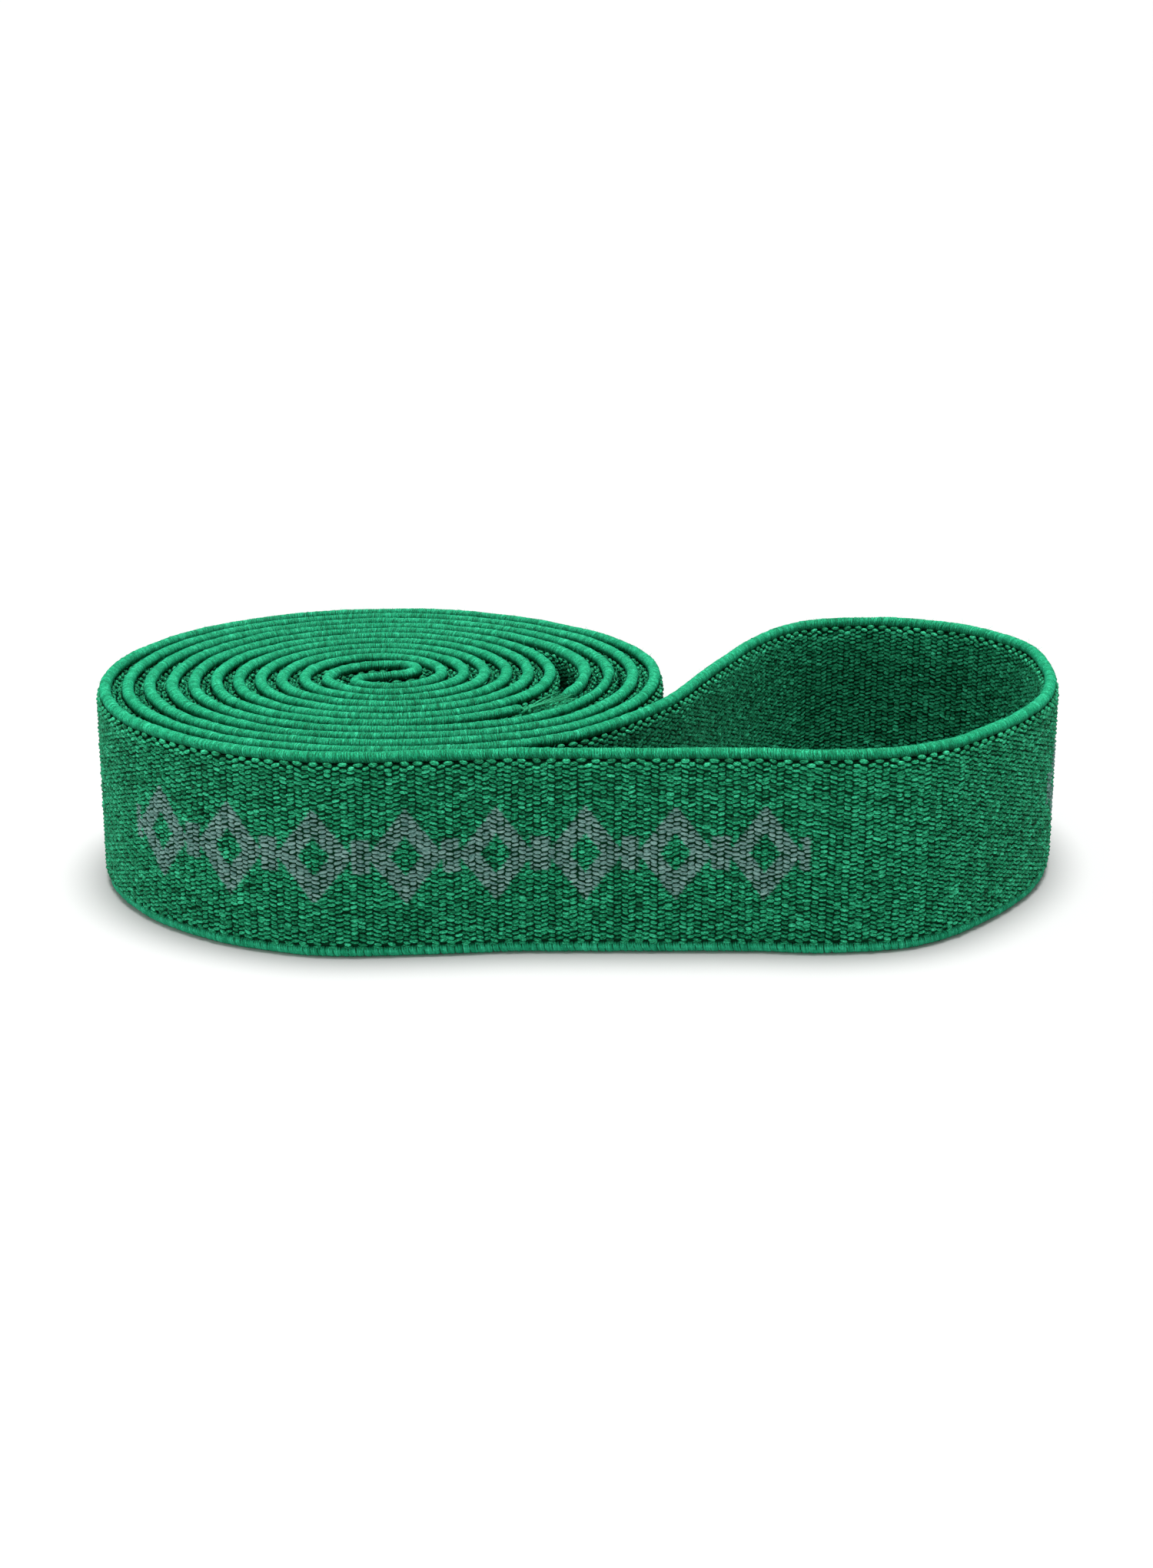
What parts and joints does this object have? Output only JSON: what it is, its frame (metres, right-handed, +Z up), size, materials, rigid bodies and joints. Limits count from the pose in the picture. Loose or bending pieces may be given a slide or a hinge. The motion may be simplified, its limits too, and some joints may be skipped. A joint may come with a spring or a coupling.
{
  "type": "resistance band",
  "caption": "Woven elastic exercise band: an endless strap pressed flat, rolled up from its folded end and stood on edge, with an open end loop.",
  "frame": {"origin": "middle of the underside of the whole part's box, on the surface that it stands on", "axes": "+X from the roll towards the open end loop, the long way; +Z up, across the strap's width; +Y towards the back, away from the straight front run"},
  "size_m": [0.152, 0.0886, 0.0311],
  "materials": {
    "weave_outer": "coarse woven elastic, outside of the loop, with a grey printed mark",
    "weave_inner": "coarse woven elastic, inside of the loop",
    "edge_bead": "tightly wrapped yarn, soft sheen",
    "rubber": "natural rubber thread, hidden inside the weave",
    "sewing_thread": "twisted polyester thread"
  },
  "bodies": {
    "root": {"face_ply_outer": "weave_outer", "face_ply_inner": "weave_inner", "rubber_threads_lower": "rubber", "rubber_threads_middle": "rubber", "rubber_threads_upper": "rubber", "edge_bead_lower": "edge_bead", "edge_bead_upper": "edge_bead", "seam_row_1_needle_thread": "sewing_thread", "seam_row_1_bobbin_thread": "sewing_thread", "seam_row_2_needle_thread": "sewing_thread", "seam_row_2_bobbin_thread": "sewing_thread", "seam_row_3_needle_thread": "sewing_thread", "seam_row_3_bobbin_thread": "sewing_thread", "seam_row_4_needle_thread": "sewing_thread", "seam_row_4_bobbin_thread": "sewing_thread", "seam_knot": "sewing_thread", "loose_thread_1": "sewing_thread", "loose_thread_2": "sewing_thread", "loose_thread_3": "sewing_thread", "loose_thread_4": "sewing_thread"}
  },
  "joints": []
}
